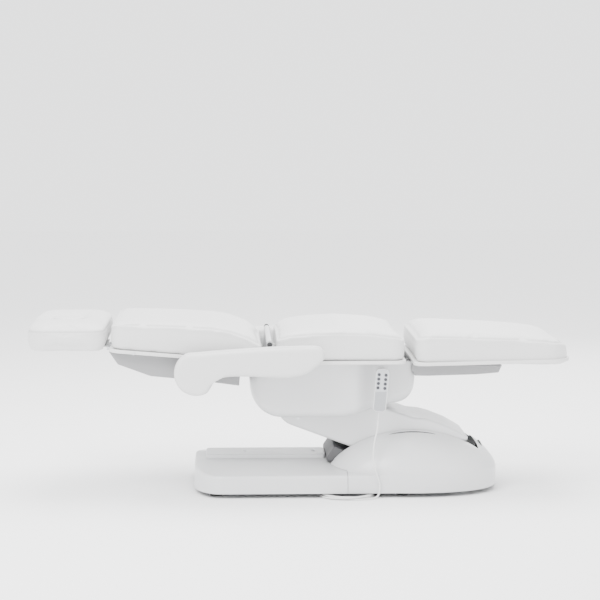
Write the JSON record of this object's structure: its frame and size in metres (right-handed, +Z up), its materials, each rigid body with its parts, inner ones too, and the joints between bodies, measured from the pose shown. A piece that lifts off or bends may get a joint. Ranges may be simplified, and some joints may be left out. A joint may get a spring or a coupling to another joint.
{
  "type": "facial treatment bed",
  "caption": "Electric facial treatment bed with padded headrest, backrest, seat and legrest on a parallelogram lift arm, with domed base, armrests and a corded handset.",
  "frame": {"origin": "centre of the bounding box in plan, on the floor under the levelling feet", "axes": "+X along the bed from head to feet, +Y to the side away from the handset, +Z up"},
  "size_m": [1.9, 0.77, 0.6147],
  "materials": {
    "painted_steel": "satin powder coat",
    "white_steel": "satin powder coat",
    "bright_steel": "satin",
    "white_cover": "satin gloss, moulded",
    "grey_cover": "fine matt grain",
    "black_plastic": "matt",
    "rubber_feet": "matt",
    "white_leather": "soft coated, fine grain",
    "board": "plywood, sealed",
    "handset_grey": "satin",
    "button_dark": "matt",
    "cord_white": "smooth flexible sheath"
  },
  "bodies": {
    "base": {"base_frame": "painted_steel", "base_plate_cover": "white_cover", "ridge_cover": "white_cover", "dome_cover": "white_cover", "slot_liner": "black_plastic", "front_shield": "grey_cover", "levelling_feet": "rubber_feet", "cover_screws": "bright_steel", "control_box": "black_plastic", "mains_inlet": "black_plastic", "lower_pivot_shaft": "bright_steel", "cord_gland": "white_cover", "cord_tube": "cord_white", "cord_coil": "cord_white"},
    "lift_arm": {"lift_arm": "painted_steel", "arm_cover": "white_cover"},
    "lift_motor": {"lift_motor": "black_plastic"},
    "lift_rod": {"lift_rod": "bright_steel"},
    "parallel_link": {"parallel_link": "painted_steel"},
    "carrier": {"carrier_head": "painted_steel"},
    "seat": {"seat_frame": "white_steel", "seat_tub": "white_cover", "seat_board": "board", "seat_cushion": "white_leather", "handset_hook": "white_cover", "handset_shell": "white_cover", "handset_face": "handset_grey", "handset_relief": "white_cover", "leg_motor": "black_plastic"},
    "back_motor": {"back_motor": "black_plastic"},
    "back_rod": {"back_rod": "bright_steel"},
    "leg_rod": {"leg_rod": "bright_steel"},
    "tilt_motor": {"tilt_motor": "black_plastic"},
    "tilt_rod": {"tilt_rod": "bright_steel"},
    "back": {"back_frame": "white_steel", "back_cover": "grey_cover", "back_board": "board", "back_cushion": "white_leather"},
    "headrest_bracket": {"headrest_bracket": "bright_steel"},
    "headrest": {"headrest_plate": "white_steel", "headrest_cushion": "white_leather"},
    "face_plug": {"face_plug": "white_leather"},
    "leg": {"leg_frame": "white_steel", "leg_cover": "grey_cover", "leg_board": "board", "leg_cushion": "white_leather"},
    "button_1": {"button_1": "button_dark"},
    "button_2": {"button_2": "button_dark"},
    "button_3": {"button_3": "button_dark"},
    "button_4": {"button_4": "button_dark"},
    "button_5": {"button_5": "button_dark"},
    "button_6": {"button_6": "button_dark"},
    "button_7": {"button_7": "button_dark"},
    "button_8": {"button_8": "button_dark"},
    "armrest_boss_right": {"armrest_boss_right": "white_steel"},
    "armrest_right": {"armrest_right": "white_leather"},
    "level_link_right": {"level_link_right": "white_steel"},
    "armrest_boss_left": {"armrest_boss_left": "white_steel"},
    "armrest_left": {"armrest_left": "white_leather"},
    "level_link_left": {"level_link_left": "white_steel"}
  },
  "joints": [
    {"name": "lift", "type": "hinge", "parent": "base", "child": "lift_arm", "pos_m": [0.43012, 0, 0.148], "axis": [0, 1, 0], "range_deg": [0, 43]},
    {"name": "link_swing", "type": "hinge", "parent": "base", "child": "parallel_link", "pos_m": [0.43012, 0, 0.09], "axis": [0, 1, 0], "range_deg": [0, 43]},
    {"name": "level", "type": "hinge", "parent": "lift_arm", "child": "carrier", "pos_m": [0, 0, 0.30967], "axis": [0, 1, 0], "range_deg": [-43, 0]},
    {"name": "seat_tilt", "type": "hinge", "parent": "carrier", "child": "seat", "pos_m": [0, 0, 0.30967], "axis": [0, 1, 0], "range_deg": [-12, 0]},
    {"name": "back_recline", "type": "hinge", "parent": "seat", "child": "back", "pos_m": [-0.108, 0, 0.53867], "axis": [0, 1, 0], "range_deg": [0, 75]},
    {"name": "leg_lower", "type": "hinge", "parent": "seat", "child": "leg", "pos_m": [0.333, 0, 0.38767], "axis": [0, 1, 0], "range_deg": [0, 32]},
    {"name": "lift_motor_swing", "type": "hinge", "parent": "lift_arm", "child": "lift_motor", "pos_m": [0.06, 0, 0.28967], "axis": [0, 1, 0], "range_deg": [-2.03, 0]},
    {"name": "lift_rod_slide", "type": "slide", "parent": "lift_motor", "child": "lift_rod", "axis": [0.835, 0, -0.5502], "range_m": [0, 0.06248]},
    {"name": "back_motor_swing", "type": "hinge", "parent": "seat", "child": "back_motor", "pos_m": [0.25, 0, 0.42017], "axis": [0, 1, 0], "range_deg": [-2, 0]},
    {"name": "back_rod_slide", "type": "slide", "parent": "back_motor", "child": "back_rod", "axis": [-0.9955, 0, 0.0951], "range_m": [0, 0.13984]},
    {"name": "leg_rod_slide", "type": "slide", "parent": "seat", "child": "leg_rod", "axis": [0.9586, 0, -0.2846], "range_m": [-0.02696, 0]},
    {"name": "tilt_motor_swing", "type": "hinge", "parent": "seat", "child": "tilt_motor", "pos_m": [0.25, 0, 0.42417], "axis": [0, 1, 0], "range_deg": [-0.843, 0]},
    {"name": "tilt_rod_slide", "type": "slide", "parent": "tilt_motor", "child": "tilt_rod", "axis": [-1, 0, -0.002], "range_m": [-0.02418, 0]},
    {"name": "armrest_level_right", "type": "hinge", "parent": "back", "child": "armrest_boss_right", "pos_m": [-0.361, 0, 0.44667], "axis": [0, 1, 0], "range_deg": [-75, 0]},
    {"name": "armrest_flip_right", "type": "hinge", "parent": "armrest_boss_right", "child": "armrest_right", "pos_m": [-0.361, 0, 0.44667], "axis": [0, 1, 0], "range_deg": [-85, 0]},
    {"name": "level_link_swing_right", "type": "hinge", "parent": "seat", "child": "level_link_right", "pos_m": [-0.108, 0, 0.49367], "axis": [0, 1, 0], "range_deg": [0, 75]},
    {"name": "armrest_level_left", "type": "hinge", "parent": "back", "child": "armrest_boss_left", "pos_m": [-0.361, 0, 0.44667], "axis": [0, 1, 0], "range_deg": [-75, 0]},
    {"name": "armrest_flip_left", "type": "hinge", "parent": "armrest_boss_left", "child": "armrest_left", "pos_m": [-0.361, 0, 0.44667], "axis": [0, 1, 0], "range_deg": [-85, 0]},
    {"name": "level_link_swing_left", "type": "hinge", "parent": "seat", "child": "level_link_left", "pos_m": [-0.108, 0, 0.49367], "axis": [0, 1, 0], "range_deg": [0, 75]},
    {"name": "headrest_extend", "type": "slide", "parent": "back", "child": "headrest_bracket", "axis": [-0.9966, 0, 0.0819], "range_m": [0, 0.06]},
    {"name": "headrest_tilt", "type": "hinge", "parent": "headrest_bracket", "child": "headrest", "pos_m": [-0.67591, 0, 0.50208], "axis": [0, 1, 0], "range_deg": [-35, 0]},
    {"name": "face_plug_lift", "type": "slide", "parent": "headrest", "child": "face_plug", "axis": [0, 0, 1], "range_m": [0, 0.12]},
    {"name": "button_1_press", "type": "slide", "parent": "seat", "child": "button_1", "axis": [0, 1, 0], "range_m": [0, 0.001], "stiffness_N_per_m": 300, "springref_m": -0.001},
    {"name": "button_2_press", "type": "slide", "parent": "seat", "child": "button_2", "axis": [0, 1, 0], "range_m": [0, 0.001], "stiffness_N_per_m": 300, "springref_m": -0.001},
    {"name": "button_3_press", "type": "slide", "parent": "seat", "child": "button_3", "axis": [0, 1, 0], "range_m": [0, 0.001], "stiffness_N_per_m": 300, "springref_m": -0.001},
    {"name": "button_4_press", "type": "slide", "parent": "seat", "child": "button_4", "axis": [0, 1, 0], "range_m": [0, 0.001], "stiffness_N_per_m": 300, "springref_m": -0.001},
    {"name": "button_5_press", "type": "slide", "parent": "seat", "child": "button_5", "axis": [0, 1, 0], "range_m": [0, 0.001], "stiffness_N_per_m": 300, "springref_m": -0.001},
    {"name": "button_6_press", "type": "slide", "parent": "seat", "child": "button_6", "axis": [0, 1, 0], "range_m": [0, 0.001], "stiffness_N_per_m": 300, "springref_m": -0.001},
    {"name": "button_7_press", "type": "slide", "parent": "seat", "child": "button_7", "axis": [0, 1, 0], "range_m": [0, 0.001], "stiffness_N_per_m": 300, "springref_m": -0.001},
    {"name": "button_8_press", "type": "slide", "parent": "seat", "child": "button_8", "axis": [0, 1, 0], "range_m": [0, 0.001], "stiffness_N_per_m": 300, "springref_m": -0.001}
  ],
  "couplings": [
    {"joint": "link_swing", "follows": "lift", "ratio": 1},
    {"joint": "level", "follows": "lift", "ratio": -1},
    {"joint": "lift_motor_swing", "follows": "lift", "ratio": -0.042561},
    {"joint": "lift_rod_slide", "follows": "lift", "m_per_rad": 0.082591},
    {"joint": "back_motor_swing", "follows": "back_recline", "ratio": -0.02398},
    {"joint": "back_rod_slide", "follows": "back_recline", "m_per_rad": 0.10645},
    {"joint": "leg_rod_slide", "follows": "leg_lower", "m_per_rad": -0.047376},
    {"joint": "tilt_motor_swing", "follows": "seat_tilt", "ratio": 0.053558},
    {"joint": "tilt_rod_slide", "follows": "seat_tilt", "m_per_rad": 0.11308},
    {"joint": "armrest_level_right", "follows": "back_recline", "ratio": -1},
    {"joint": "level_link_swing_right", "follows": "back_recline", "ratio": 1},
    {"joint": "armrest_level_left", "follows": "back_recline", "ratio": -1},
    {"joint": "level_link_swing_left", "follows": "back_recline", "ratio": 1}
  ]
}
